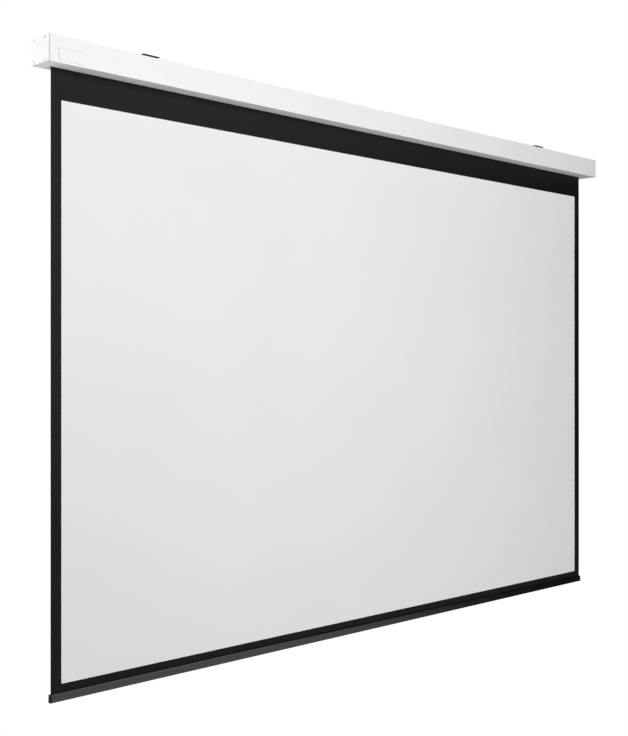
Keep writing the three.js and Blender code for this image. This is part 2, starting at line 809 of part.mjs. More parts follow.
// The lead leaves the motor's head towards the back and enters the terminal block's front.
function leadStart() {
  const surface = rollerY + Math.sqrt(headRadius ** 2 - leadHeight ** 2);
  return [headMiddle(), surface - leadSocketDepth, rollerZ + leadHeight];
}

function leadEnd() {
  const y = wallRear - terminalDepth + leadSocketDepth - seatGap;
  return [terminalLeft() + leadEntryFromEdge, y, terminalTop() - leadEntryDrop];
}

function motorLead() {
  const start = new THREE.Vector3(...leadStart());
  const end = new THREE.Vector3(...leadEnd());
  const out = new THREE.Vector3(0, leadSocketDepth + leadStraight, 0);
  const route = new THREE.CubicBezierCurve3(start, start.clone().addScaledVector(out, leadPullShare),
    end.clone().addScaledVector(out, -leadPullShare), end);
  const section = Array.from({ length: leadSides }, (_, i) => {
    const angle = (2 * Math.PI * i) / leadSides;
    return [leadRadius * Math.cos(angle), leadRadius * Math.sin(angle)];
  });
  return solid(new THREE.ExtrudeGeometry(polygon(section), { steps: leadSteps, extrudePath: route }));
}

function grommetPlace() {
  return [-halfShell + grommetFromCap, caseRear - grommetFromRear];
}

function cableGrommet() {
  const place = grommetPlace();
  const low = caseTop - caseWall - seatGap;
  const high = caseTop + seatGap;
  const whole = joined(
    bar("z", [low - grommetFlangeThick, low], grommetFlange, place, rodSides),
    bar("z", [low - bite, high + bite], grommetNeck, place, rodSides),
    bar("z", [high, high + grommetFlangeThick], grommetFlange, place, rodSides),
  );
  const past = [low - grommetFlangeThick - cutOver, cutOver];
  return whole.subtract(bar("z", past, grommetBore, place, rodSides));
}

// The black sheet hangs from the roller's rear and ends in a hem round its rod.
function screenFabric() {
  const span = [-halfFabric, halfFabric];
  const half = backingThick / 2;
  const place = [fabricY, hemZ];
  const inner = hemRadius - backingThick;
  const sheet = block(span, [fabricY - half, fabricY + half], [hemZ + inner + half, rollerZ - seatGap]);
  const hem = bar("x", span, hemRadius, place, rodSides).subtract(
    bar("x", [-halfCase, halfCase], inner, place, rodSides));
  return sheet.add(hem);
}

function imageSurface() {
  const back = fabricY - backingThick / 2;
  return block([-imageWidth / 2, imageWidth / 2], [back - imageThick, back], [imageBottom, imageTop]);
}

// The bar's section, symmetrical about the fabric and wider at its foot.
function barOutline(inset) {
  const top = barTopDepth / 2 - inset;
  const foot = barBottomDepth / 2 - inset;
  return [
    [fabricY - foot, barBottom + inset], [fabricY + foot, barBottom + inset],
    [fabricY + top, barTop - inset], [fabricY - top, barTop - inset],
  ];
}

function barProfile() {
  const span = [-halfFabric, halfFabric];
  const past = [-halfCase, halfCase];
  return cut(
    prismX(roundedOutline(barOutline(0), barCorner), span),
    prismX(polygon(barOutline(barWall)), past),
    block(past, [fabricY - barSlot / 2, fabricY + barSlot / 2],
      [barTop - barWall - bite, barTop + cutOver]),
  );
}

function barCap(side) {
  const plate = prismX(roundedOutline(barOutline(0), barCorner),
    along(side, halfFabric, halfFabric + barCapThick), capEdge);
  const half = barBottomDepth / 2 - barWall - 2 * seatGap - barWall / 2;
  const low = barBottom + barWall + seatGap;
  const plug = block(along(side, halfFabric - barPlugLength, halfFabric + bite),
    [fabricY - half, fabricY + half], [low, low + barPlugHeight]);
  return plate.add(plug);
}

function hemRod() {
  const half = halfFabric - hemRodShort;
  return bar("x", [-half, half], hemRodRadius, [fabricY, hemZ], rodSides);
}

// Brackets stand on their own middle along X.
function mountBracket() {
  const wide = [-bracketWidth / 2, bracketWidth / 2];
  const rear = caseRear + bracketRearRoom + bracketSteel;
  const inner = bracketBend - bracketSteel;
  const steel = new THREE.Shape();
  steel.moveTo(caseFront, 0);
  steel.lineTo(caseFront, -bracketSteel);
  steel.lineTo(rear - bracketBend, -bracketSteel);
  steel.absarc(rear - bracketBend, -bracketBend, inner, Math.PI / 2, 0, true);
  steel.lineTo(rear - bracketSteel, -bracketFlange);
  steel.lineTo(rear, -bracketFlange);
  steel.lineTo(rear, -bracketBend);
  steel.absarc(rear - bracketBend, -bracketBend, bracketBend, 0, Math.PI / 2, false);
  steel.closePath();
  const hook = [-hookWidth / 2, hookWidth / 2];
  const hookFront = -(railInset + railWeb + railLipReach + seatGap + hookSteel);
  const toeTop = -(bracketSteel + seatGap + railLip + seatGap);
  const toeEnd = -(railInset + railWeb + seatGap);
  const collar = [0, clampY()];
  const whole = joined(
    prismX(steel, wide),
    block(hook, [hookFront, hookFront + hookSteel], [toeTop - hookSteel, -bracketSteel + bite]),
    block(hook, [hookFront, toeEnd], [toeTop - hookSteel, toeTop]),
    bar("z", [-bracketSteel - clampCollar, -bite], clampShank + seatGap + clampCollarWall,
      collar, rodSides),
  );
  const through = [-bracketSteel - clampCollar - cutOver, cutOver];
  return cut(
    whole,
    bar("z", through, clampShank + seatGap, collar, rodSides),
    slotHole("z", [0, -ceilingSlotSpread], through),
    slotHole("z", [0, ceilingSlotSpread], through),
    slotHole("y", [-wallSlotSpread, -wallSlotDrop], [rear - bracketSteel - cutOver, rear + cutOver]),
    slotHole("y", [wallSlotSpread, -wallSlotDrop], [rear - bracketSteel - cutOver, rear + cutOver]),
  );
}

// A slotted hole that is long in X.
function slotHole(axis, [x, b], span) {
  const reach = (slotHoleLength - slotHoleWidth) / 2;
  const half = slotHoleWidth / 2;
  const middle = axis === "z"
    ? block([x - reach, x + reach], [b - half, b + half], span)
    : block([x - reach, x + reach], span, [b - half, b + half]);
  return joined(
    middle,
    bar(axis, span, half, [x - reach, b], smallSides),
    bar(axis, span, half, [x + reach, b], smallSides),
  );
}

function clampY() {
  return caseRear + bracketRearRoom / 2;
}

function clampJaw() {
  const wide = [-jawWidth / 2, jawWidth / 2];
  const top = -(bracketSteel + 2 * seatGap + railLip);
  const earFront = caseRear + 2 * seatGap;
  const earRear = caseRear + bracketRearRoom - 2 * seatGap;
  const toe = block(wide, [railInset + railWeb + seatGap, earRear], [top - hookSteel, top]);
  const ear = block(wide, [earFront, earRear], [top - jawEarThick, top]);
  const past = [top - jawEarThick - cutOver, top + cutOver];
  return toe.add(ear).subtract(bar("z", past, clampShank + seatGap, [0, clampY()], rodSides));
}

// The clamp screw points up, so its own Z axis is turned over where it is placed.
function clampScrew() {
  const length = clampHeadHeight + bracketSteel + 2 * seatGap + railLip + jawEarThick;
  const whole = bar("z", [-clampHeadHeight, 0], clampHead, [0, 0], rodSides).add(
    bar("z", [-length, -clampHeadHeight + bite], clampShank, [0, 0], smallSides),
  );
  return whole.subtract(bar("z", [-clampSocketDepth, cutOver], clampSocket, [0, 0], hexSides));
}

function clampScrewPlace(x) {
  const ear = bracketSteel + 2 * seatGap + railLip + jawEarThick;
  return [x, clampY(), -(ear + seatGap + clampHeadHeight)];
}

// Case, covers and badge
addPart("case_shell", caseShell(), whitePaint);
addPart("bottom_cover", bottomCover(), whitePaint);
addPart("badge_plate", badgePlate(), whitePlastic);
addPart("cable_grommet", cableGrommet(), blackRubber);

const endScrew = countersunkScrew(countersunkHead, countersunkDepth, endScrewShank, endScrewLength);
const footScrew = panScrew(footScrewHead, footScrewHeadHeight, footScrewShank,
  footScrewHeadHeight + seatGap + hatSteel + footScrewBite, recessWidth);
for (const [side, end] of [[-1, "left"], [1, "right"]]) {
  addPart(`end_cap_${end}`, endCap(side), whitePaint);
  channels.forEach(([y, z], i) => {
    addPart(`end_screw_${end}_${i + 1}`, endScrew, zincSteel,
      [side * (halfCase - bite / 2), y, z], [0, (side * Math.PI) / 2, 0]);
  });
  for (const [way, level] of [[1, "top"], [-1, "bottom"]]) {
    const owner = side < 0 ? "motor" : "idler";
    const headTop = halfShell - hatSteel - seatGap - footScrewHeadHeight;
    addPart(`${owner}_bracket_screw_${level}`, footScrew, zincSteel,
      [side * headTop, rollerY, rollerZ + way * footScrewZ], [0, (-side * Math.PI) / 2, 0]);
  }
}

// Motor end
addPart("motor_bracket", motorBracket(), zincSteel);
addPart("motor_head", motorHead(), blackPlastic);
addPart("retaining_clip", retainingClip(), zincSteel);
addPart("motor_tube", motorTube(), zincSteel);
addPart("motor_unit", motorUnit(), blackPlastic);
addPart("gearbox", gearbox(), greyNylon);
limitScrewPlaces().forEach((x, i) => {
  addPart(`limit_screw_${["up", "down"][i]}`, limitScrew(), [nylonWhite, yellowPlastic][i],
    [x, rollerY, limitScrewTop() - limitScrewLength], [Math.PI, 0, 0]);
});
addPart("terminal_block", terminalBlock(), nylonWhite);
addPart("terminal_screw",
  panScrew(terminalScrewHead, terminalScrewHeadHeight, terminalScrewShank,
    terminalDepth + caseWall - seatGap, terminalScrewRecess),
  zincSteel, [terminalScrewX(), wallRear - terminalDepth - seatGap, terminalMiddle()],
  [Math.PI / 2, 0, 0]);
addPart("motor_lead", motorLead(), blackRubber);

// Roller
addPart("roller_tube", rollerTube(), bareAluminium);
addPart("limit_crown", limitCrown(), greyNylon);
addPart("output_shaft", outputShaft(), zincSteel);
addPart("drive_wheel", driveWheel(), greyNylon);
addPart("idler_plug", idlerPlug(), greyNylon);
addPart("idler_pin", idlerPin(), zincSteel);
addPart("fabric_keder", keder(), nylonWhite);
addPart("wound_fabric", woundFabric(), blackFabric);
addPart("idler_bracket", idlerBracket(), zincSteel);
addPart("idler_bush", idlerBush(), nylonWhite);

// Hanging sheet and bottom bar
addPart("screen_fabric", screenFabric(), blackFabric);
addPart("image_surface", imageSurface(), matteWhite);
addPart("bar_profile", barProfile(), blackBar);
addPart("bar_cap_left", barCap(-1), blackPlastic);
addPart("bar_cap_right", barCap(1), blackPlastic);
addPart("hem_rod", hemRod(), zincSteel);

// Mounting brackets
const bracketPlaces = [
  ["left", -halfCase + bracketFromLeftEnd],
  ["right", halfCase - bracketFromRightEnd],
];
for (const [end, x] of bracketPlaces) {
  addPart(`bracket_${end}`, mountBracket(), blackSteel, [x, 0, 0]);
  addPart(`clamp_jaw_${end}`, clampJaw(), blackSteel, [x, 0, 0]);
  addPart(`clamp_screw_${end}`, clampScrew(), zincSteel, clampScrewPlace(x), [Math.PI, 0, 0]);
}

export default screen;
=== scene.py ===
import json
import math

import bmesh
import bpy
from mathutils import Matrix, Vector, noise


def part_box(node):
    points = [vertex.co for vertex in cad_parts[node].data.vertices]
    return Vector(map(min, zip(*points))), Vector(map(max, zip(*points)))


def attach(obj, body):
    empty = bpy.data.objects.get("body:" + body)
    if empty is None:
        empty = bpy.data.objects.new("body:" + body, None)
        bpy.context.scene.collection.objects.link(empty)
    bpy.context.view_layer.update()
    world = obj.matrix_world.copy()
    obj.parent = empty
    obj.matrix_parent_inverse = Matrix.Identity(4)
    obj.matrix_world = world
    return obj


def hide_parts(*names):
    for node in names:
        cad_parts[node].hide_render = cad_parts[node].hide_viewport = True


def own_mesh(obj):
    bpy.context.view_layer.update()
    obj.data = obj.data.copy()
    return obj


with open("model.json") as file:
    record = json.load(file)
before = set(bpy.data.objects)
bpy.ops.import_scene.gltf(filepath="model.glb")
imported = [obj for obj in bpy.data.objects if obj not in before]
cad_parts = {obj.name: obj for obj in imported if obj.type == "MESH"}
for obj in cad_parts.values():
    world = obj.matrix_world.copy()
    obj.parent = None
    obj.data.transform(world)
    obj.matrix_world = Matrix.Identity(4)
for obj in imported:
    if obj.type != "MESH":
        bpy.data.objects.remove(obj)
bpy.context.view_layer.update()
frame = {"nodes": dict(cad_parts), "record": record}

cad = frame["nodes"]
scene = bpy.context.scene

weld_reach = 1e-7  # points nearer than this are one
crease = math.radians(32)  # edges sharper than this stay sharp

# Sheet
backing_thick = 0.0004
image_thick = 0.0002
image_sunk = 0.00004  # how far the image coating sits into the backing
sheet_columns = 88
sheet_rows = 60
sway_depth = 0.0009  # slow unevenness of the hanging sheet
sway_fade = 0.12  # the sheet is straight this near the roller and the bar
sway_waves = (0.9, 0.7)  # waves to a metre, along X and Z
sway_ripples = (2.3, 0.5)
sway_ripple_share = 0.5
sway_ripple_start = 4.0
hem_radius = 0.0035
hem_start, hem_sweep = 95, 340  # degrees round the rod
hem_steps = 40
hem_ends_below = (0.0003, 0.0009)  # where the hem meets the sheet, under the bar's top
sheet_end_in_bar = 0.0010
spare_turns = 1.4
layer_pitch = 0.0005
tail_into_tube = 0.0021
tail_shares = (0.5, 1.0)
turn_steps = 96

# Fasteners
screw_head = 0.0037
screw_head_depth = 0.0022
screw_shank = 0.0018
screw_length = 0.018
screw_crown = 0.00025
screw_crown_flat = 0.0012
screw_dome_shares = (0.6, 0.8)  # of the head's radius and of the crown's height
screw_rim = 0.0003
screw_tip = 0.001
screw_tip_share = 0.5  # of the shank's radius
screw_turns = (0.3, 1.1, 0.7, 0.1)  # no two screws stop at the same angle
recess_span = 0.0040
recess_width = 0.0009
recess_depth = 0.0012
clamp_head = 0.00425
clamp_head_height = 0.005
clamp_shank = 0.0024
clamp_socket = 0.0024
clamp_socket_depth = 0.0026
clamp_edge = 0.0004
clamp_foot_edge = 0.0002
clamp_tip = 0.0005
cutter_above = 0.002  # how far a recess cutter stands out of the head
round_sides = 48

# Grommet of the cable outlet
grommet_bore = 0.0035
grommet_neck = 0.0050
grommet_flange = 0.0070
grommet_lip = 0.0020
grommet_rounding = 0.0006

# Badge plate
badge_corner = 0.0045
badge_edge = 0.0005
badge_edge_steps = 3
badge_flat = 0.0004  # keeps the rounding out of the flat face
badge_pad = 0.0005
badge_pad_inset = 0.0010
corner_steps = 10

# Camera, worked out from the photograph's vanishing points
camera_place = (-3.6219, -3.2424, -1.0546)
camera_turn = (90.053, 0.0, -45.126)  # degrees
camera_lens = 57.87
camera_reach = 200.0
long_side = 36.0

# What each mask is drawn from: the value where it is 0, and the value where it is 1
cloud_reach = (0.35, 0.65)
cloth_reach = (0.30, 0.70)
metal_reach = (0.12, 0.40)
edge_reach = (0.995, 0.86)  # how square the rounded normal stays to the flat one
break_reach = (0.42, 0.62)

# Studio
floor_height = -2.75
floor_half = 60.0
floor_fade = (2.8, 4.9)  # X between which the front floor's light runs out
rear_fade = (-1.5, 2.2)  # X between which the rear floor's light runs out
floor_turn = (0.0, 1.0)  # Y between which the front floor turns into the rear one
room_turn = (0.0, 0.25)  # the same for the surroundings, in a direction's Y
backdrop = 1.0  # behind the object, and wherever the camera sees it
room_light = 0.035  # from the dark room in front
floor_light = 0.59  # from the lit floor in front
floor_rear_light = 1.0  # from the floor behind the object, at the left
floor_rear_far_light = 0.12  # and at the right
floor_far_light = 0.02  # where the floor's light has run out, to the right


def grey(value):
    return (value, value, value, 1.0)


def add(tree, kind, inputs=None, **settings):
    """Adds a shader node, with its settings and with values or links for its inputs."""
    made = tree.nodes.new("ShaderNode" + kind)
    for name, value in settings.items():
        setattr(made, name, value)
    for name, value in (inputs or {}).items():
        if isinstance(value, bpy.types.NodeSocket):
            tree.links.new(value, made.inputs[name])
        else:
            made.inputs[name].default_value = value
    return made


def effect(name, settings, build):
    """A node group that puts out a mask and a height. Its settings are its named inputs."""
    group = bpy.data.node_groups.new(name, "ShaderNodeTree")
    for label, value in settings.items():
        socket = group.interface.new_socket(label, in_out="INPUT", socket_type="NodeSocketFloat")
        socket.default_value = value
    for label in ("Mask", "Height"):
        group.interface.new_socket(label, in_out="OUTPUT", socket_type="NodeSocketFloat")
    given = group.nodes.new("NodeGroupInput").outputs
    place = add(group, "TexCoord").outputs["Object"]
    mask, height = build(group, given, place)
    result = group.nodes.new("NodeGroupOutput")
    group.links.new(mask, result.inputs["Mask"])
    group.links.new(height, result.inputs["Height"])
    return group


def spread(tree, value, reach):
    """Stretches a value's reach over 0 to 1."""
    limits = {"Value": value, "From Min": reach[0], "From Max": reach[1]}
    return add(tree, "MapRange", limits).outputs["Result"]


def product(tree, first, second):
    return add(tree, "Math", {0: first, 1: second}, operation="MULTIPLY").outputs[0]


def stretched(tree, place, along, across):
    """Object coordinates drawn out along X, for marks that run the length of an extrusion."""
    scale = add(tree, "CombineXYZ", {"X": along, "Y": across, "Z": across}).outputs[0]
    return add(tree, "VectorMath", {0: place, 1: scale}, operation="MULTIPLY").outputs[0]


def powder_coat(tree, given, place):
    """Orange peel for relief, and slow clouds for tone."""
    peel = add(tree, "TexNoise", {"Vector": place, "Scale": given["Peel"], "Detail": 2.0})
    cloud = add(tree, "TexNoise", {"Vector": place, "Scale": given["Cloud"], "Detail": 4.0})
    return spread(tree, cloud.outputs[0], cloud_reach), peel.outputs[0]


def drawn_metal(tree, given, place):
    """Fine lines along an extrusion or a rolled strip."""
    line = stretched(tree, place, given["Along"], given["Across"])
    fine = add(tree, "TexNoise", {"Vector": line, "Scale": 1.0, "Detail": 3.0})
    cloud = add(tree, "TexNoise", {"Vector": place, "Scale": given["Cloud"], "Detail": 3.0})
    mixed = product(tree, fine.outputs[0], cloud.outputs[0])
    return spread(tree, mixed, metal_reach), fine.outputs[0]


def moulded_skin(tree, given, place):
    """The spark-eroded grain of a moulded plastic or rubber piece."""
    grain = add(tree, "TexVoronoi", {"Vector": place, "Scale": given["Grain"]}, feature="SMOOTH_F1")
    cloud = add(tree, "TexNoise", {"Vector": place, "Scale": given["Cloud"], "Detail": 3.0})
    return spread(tree, cloud.outputs[0], cloud_reach), grain.outputs["Distance"]


def woven_cloth(tree, given, place):
    """Warp and weft under a coating, with slow clouds from the coating's thickness."""
    warp = add(tree, "TexWave", {"Vector": place, "Scale": given["Thread"], "Distortion": 0.4},
               bands_direction="X")
    weft = add(tree, "TexWave", {"Vector": place, "Scale": given["Thread"], "Distortion": 0.4},
               bands_direction="Z")
    cloud = add(tree, "TexNoise", {"Vector": place, "Scale": given["Cloud"], "Detail": 5.0})
    crossed = product(tree, warp.outputs[1], weft.outputs[1])
    return spread(tree, cloud.outputs[0], cloth_reach), crossed


def rubbed_edges(tree, given, place):
    """Edges where handling has worn the finish, broken up by noise."""
    rounded = add(tree, "Bevel", {"Radius": given["Reach"]}, samples=4).outputs[0]
    flat = add(tree, "NewGeometry").outputs["Normal"]
    facing = add(tree, "VectorMath", {0: rounded, 1: flat}, operation="DOT_PRODUCT")
    edge = spread(tree, facing.outputs["Value"], edge_reach)
    breaks = add(tree, "TexNoise", {"Vector": place, "Scale": given["Breaks"], "Detail": 4.0})
    worn = product(tree, edge, spread(tree, breaks.outputs[0], break_reach))
    return worn, worn


def shaded_seams(tree, given, place):
    """Painted shade in grooves and inner corners, darker where less light comes."""
    openness = add(tree, "AmbientOcclusion", {"Distance": given["Reach"]}, samples=12).outputs["AO"]
    mask = spread(tree, openness, (given["Open"], given["Shut"]))
    return mask, mask


effects = {
    "powder": effect("powder_coat", {"Peel": 900.0, "Cloud": 5.0}, powder_coat),
    "drawn": effect("drawn_metal", {"Along": 6.0, "Across": 2200.0, "Cloud": 9.0}, drawn_metal),
    "moulded": effect("moulded_skin", {"Grain": 1800.0, "Cloud": 40.0}, moulded_skin),
    "woven": effect("woven_cloth", {"Thread": 450.0, "Cloud": 3.0}, woven_cloth),
    "rubbed": effect("rubbed_edges", {"Reach": 0.0006, "Breaks": 260.0}, rubbed_edges),
    # painted shade: darkens grooves and inner corners by their ambient occlusion
    "seam_shade": effect("shaded_seams", {"Reach": 0.003, "Open": 0.92, "Shut": 0.35}, shaded_seams),
}


def placed(tree, name, settings):
    """Places an effect's group in a material, with the material's own values."""
    made = tree.nodes.new("ShaderNodeGroup")
    made.node_tree = effects[name]
    for label, value in settings.items():
        made.inputs[label].default_value = value
    return made


def blend(tree, factor, first, second):
    """A colour between two."""
    made = add(tree, "Mix", {"Factor": factor, 6: first, 7: second}, data_type="RGBA")
    return made.outputs[2]


def finish(name, kind, settings, tones, roughness, relief, worn=None, seam_shade=None, **sockets):
    """A Principled material. Its tone and roughness drift between two values by the effect's
    mask, and its relief is the effect's height. worn is a tone for rubbed edges, seam_shade one
    for painted shade in grooves and inner corners."""
    made = bpy.data.materials.new(name)
    made.use_nodes = True
    tree = made.node_tree
    shader = tree.nodes["Principled BSDF"]
    group = placed(tree, kind, settings)
    mask, height = group.outputs["Mask"], group.outputs["Height"]
    tone = blend(tree, mask, *tones)
    if worn:
        tone = blend(tree, placed(tree, "rubbed", {}).outputs["Mask"], tone, worn)
    # painted shade: a darker tone in grooves and inner corners, where less light reaches
    if seam_shade:
        tone = blend(tree, placed(tree, "seam_shade", {}).outputs["Mask"], tone, seam_shade)
    tree.links.new(tone, shader.inputs["Base Color"])
    rough = add(tree, "MapRange", {"Value": mask, "To Min": roughness[0], "To Max": roughness[1]})
    tree.links.new(rough.outputs[0], shader.inputs["Roughness"])
    strength, depth = relief
    bump = add(tree, "Bump", {"Height": height, "Strength": strength, "Distance": depth})
    tree.links.new(bump.outputs[0], shader.inputs["Normal"])
    for label, value in sockets.items():
        shader.inputs[label.replace("_", " ")].default_value = value
    return made


cream = ((0.70, 0.69, 0.64, 1.0), (0.76, 0.75, 0.70, 1.0))
yellow = ((0.62, 0.40, 0.02, 1.0), (0.70, 0.47, 0.03, 1.0))
finishes = {
    # The darker seam tones of the white finishes are painted shade in grooves and inner corners
    "white_paint": finish("white_paint", "powder", {}, (grey(0.872), grey(0.892)), (0.30, 0.37),
                          (0.05, 0.0002), seam_shade=grey(0.32), Specular_IOR_Level=0.38),
    "white_plastic": finish("white_plastic", "moulded", {"Grain": 900.0}, (grey(0.88), grey(0.895)),
                            (0.34, 0.42), (0.04, 0.0001), seam_shade=grey(0.28), Specular_IOR_Level=0.4),
    "black_steel": finish("black_steel", "powder", {"Peel": 1300.0, "Cloud": 25.0},
                          (grey(0.004), grey(0.007)), (0.45, 0.58), (0.22, 0.0002),
                          worn=grey(0.03), Specular_IOR_Level=0.2),
    "black_bar": finish("black_bar", "drawn", {"Along": 4.0}, (grey(0.003), grey(0.005)),
                        (0.12, 0.17), (0.03, 0.0001), Specular_IOR_Level=1.0, IOR=1.55),
    "black_plastic": finish("black_plastic", "moulded", {}, (grey(0.004), grey(0.006)),
                            (0.48, 0.58), (0.12, 0.0002), Specular_IOR_Level=0.14),
    "zinc_steel": finish("zinc_steel", "powder", {"Peel": 700.0, "Cloud": 60.0},
                         (grey(0.66), grey(0.78)), (0.34, 0.46), (0.06, 0.0001),
                         worn=grey(0.85), Metallic=1.0),
    "bare_aluminium": finish("bare_aluminium", "drawn", {}, (grey(0.55), grey(0.68)),
                             (0.28, 0.40), (0.08, 0.0001), Metallic=1.0),
    "grey_nylon": finish("grey_nylon", "moulded", {}, (grey(0.22), grey(0.26)), (0.50, 0.62),
                         (0.10, 0.0002)),
    "white_nylon": finish("white_nylon", "moulded", {}, cream, (0.45, 0.55), (0.08, 0.0002),
                          Subsurface_Weight=0.05),
    "yellow_plastic": finish("yellow_plastic", "moulded", {}, yellow, (0.42, 0.52), (0.08, 0.0002)),
    "black_rubber": finish("black_rubber", "moulded", {"Grain": 1200.0}, (grey(0.010), grey(0.016)),
                           (0.68, 0.82), (0.15, 0.0003), Specular_IOR_Level=0.3),
    "black_fabric": finish("black_fabric", "woven", {}, (grey(0.0036), grey(0.0052)), (0.40, 0.46),
                           (0.16, 0.0002), Specular_IOR_Level=0.17),
    "white_fabric": finish("white_fabric", "woven", {"Thread": 800.0, "Cloud": 2.0},
                           (grey(0.845), grey(0.865)), (0.74, 0.84), (0.08, 0.0001),
                           Specular_IOR_Level=0.2),
}

for part in frame["record"]["subparts"]:
    mesh = cad[part["node"]].data
    mesh.materials.clear()
    mesh.materials.append(finishes[part["material_slot"]])


def piece(name, mesh, slot, body, *replaced):
    """Puts a mesh in the scene as a piece that rides on a body and stands for CAD nodes."""
    made = bpy.data.objects.new(name, mesh)
    scene.collection.objects.link(made)
    mesh.materials.append(finishes[slot])
    mesh.shade_smooth()
    mesh.set_sharp_from_angle(angle=crease)
    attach(made, body)
    if replaced:
        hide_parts(*replaced)
    return made


def new_mesh(name, points, faces):
    mesh = bpy.data.meshes.new(name)
    mesh.from_pydata([tuple(p) for p in points], [], faces)
    form = bmesh.new()
    form.from_mesh(mesh)
    bmesh.ops.remove_doubles(form, verts=form.verts, dist=weld_reach)
    bmesh.ops.recalc_face_normals(form, faces=form.faces)
    form.to_mesh(mesh)
    form.free()
    return mesh


def ringed(name, points, rows, closed=False):
    """Skins rings of as many points each, with a face over the first and the last ring.
    Where it is closed, the last ring meets the first instead."""
    count = len(points) // rows
    faces = []
    for row in range(rows if closed else rows - 1):
        after = (row + 1) % rows
        for i in range(count):
            j = (i + 1) % count
            faces.append((row * count + i, row * count + j, after * count + j, after * count + i))
    if not closed:
        faces.append(tuple(range(count)))
        faces.append(tuple(range(len(points) - count, len(points))))
    return new_mesh(name, points, faces)


def turned(name, outline, closed=False):
    """Turns an outline of (radius, height) points round Z. A closed outline makes a ring."""
    turns = [2 * math.pi * i / round_sides for i in range(round_sides)]
    points = [(radius * math.cos(turn), radius * math.sin(turn), height)
              for radius, height in outline for turn in turns]
    return ringed(name, points, len(outline), closed)


def carved(mesh, *cutters):
    """The mesh with the cutters' meshes taken out of it."""
    helper = bpy.data.objects.new("carving", mesh)
    scene.collection.objects.link(helper)
    tools = []
    for cutter in cutters:
        tool = bpy.data.objects.new("cutter", cutter)
        scene.collection.objects.link(tool)
        step = helper.modifiers.new("cut", "BOOLEAN")
        step.object = tool
        step.operation = "DIFFERENCE"
        step.solver = "EXACT"
        tools.append(tool)
    bpy.context.view_layer.update()
    cut = helper.evaluated_get(bpy.context.evaluated_depsgraph_get())
    result = bpy.data.meshes.new_from_object(cut)
    for used in (helper, *tools):
        bpy.data.objects.remove(used)
    return result


def prism(name, outline, low, high):
    """A solid between two heights, from an outline of (x, y) points."""
    count = len(outline)
    points = [(x, y, z) for z in (low, high) for x, y in outline]
    sides = [(i, (i + 1) % count, count + (i + 1) % count, count + i) for i in range(count)]
    return new_mesh(name, points, sides + [tuple(range(count)), tuple(range(count, 2 * count))])


def slab(name, length, width, low, high):
    x, y = length / 2, width / 2
    return prism(name, [(-x, -y), (x, -y), (x, y), (-x, y)], low, high)


def copied(mesh, name, place):
    """A copy of the mesh, moved to its place."""
    made = mesh.copy()
    made.name = name
    made.transform(place)
    return made


def middle(node):
    low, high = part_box(node)
    return (low + high) / 2


# Countersunk screws of the end caps
screw_outline = [
    (screw_crown_flat, screw_crown),
    (screw_head * screw_dome_shares[0], screw_crown * screw_dome_shares[1]),
    (screw_head - screw_rim, 0.0), (screw_head, -screw_rim), (screw_shank, -screw_head_depth),
    (screw_shank, -screw_length + screw_tip), (screw_shank * screw_tip_share, -screw_length),
]
end_screw = carved(
    turned("end_screw", screw_outline),
    slab("recess_across", recess_span, recess_width, -recess_depth, cutter_above),
    slab("recess_along", recess_width, recess_span, -recess_depth, cutter_above),
)
for side, end in ((-1, "left"), (1, "right")):
    for i, turn in enumerate(screw_turns, 1):
        name = f"end_screw_{end}_{i}"
        low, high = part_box(name)
        outer = Vector((low.x if side < 0 else high.x, middle(name).y, middle(name).z))
        place = (Matrix.Translation(outer) @ Matrix.Rotation(side * math.pi / 2, 4, "Y")
                 @ Matrix.Rotation(turn, 4, "Z"))
        piece(f"cap_screw_{end}_{i}", copied(end_screw, name, place), "zinc_steel", "case", name)

# Socket screws of the bracket clamps, heads down
low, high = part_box("clamp_screw_left")
clamp_length = (high - low).z
clamp_outline = [
    (clamp_socket, 0.0), (clamp_head - clamp_edge, 0.0), (clamp_head, -clamp_edge),
    (clamp_head, -clamp_head_height + clamp_foot_edge),
    (clamp_head - clamp_foot_edge, -clamp_head_height), (clamp_shank, -clamp_head_height),
    (clamp_shank, -clamp_length + clamp_tip), (clamp_shank - clamp_tip, -clamp_length),
]
hexagon = [(clamp_socket * math.cos(turn), clamp_socket * math.sin(turn))
           for turn in (math.pi * i / 3 for i in range(6))]
clamp_screw = carved(turned("clamp_screw", clamp_outline),
                     prism("socket", hexagon, -clamp_socket_depth, cutter_above))
for end in ("left", "right"):
    name = f"clamp_screw_{end}"
    low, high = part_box(name)
    foot = Vector((middle(name).x, middle(name).y, low.z))
    place = Matrix.Translation(foot) @ Matrix.Rotation(math.pi, 4, "X")
    piece(f"clamp_bolt_{end}", copied(clamp_screw, name, place), "zinc_steel",
          f"bracket_{end}", name)

# Rubber grommet of the cable outlet
low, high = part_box("cable_grommet")
tall = high.z - low.z
bore, neck, flange = grommet_bore, grommet_neck, grommet_flange
lip, rounding = grommet_lip, grommet_rounding
grommet_outline = [
    (bore, rounding), (bore + rounding, 0.0), (flange - rounding, 0.0), (flange, rounding),
    (flange, lip - rounding / 2), (flange - rounding / 2, lip), (neck, lip), (neck, tall - lip),
    (flange - rounding / 2, tall - lip), (flange, tall - lip + rounding / 2),
    (flange, tall - rounding), (flange - rounding, tall), (bore + rounding, tall),
    (bore, tall - rounding),
]
grommet_place = Matrix.Translation((middle("cable_grommet").x, middle("cable_grommet").y, low.z))
grommet = copied(turned("grommet", grommet_outline, closed=True), "outlet_grommet", grommet_place)
piece("outlet_grommet", grommet, "black_rubber", "case", "cable_grommet")


def rounded_rectangle(centre, half_width, half_height, radius):
    points = []
    for quarter, (sx, sz) in enumerate(((1, 1), (-1, 1), (-1, -1), (1, -1))):
        for step in range(corner_steps + 1):
            angle = (quarter + step / corner_steps) * math.pi / 2
            points.append((centre.x + sx * (half_width - radius) + radius * math.cos(angle),
                           centre.z + sz * (half_height - radius) + radius * math.sin(angle)))
    return points


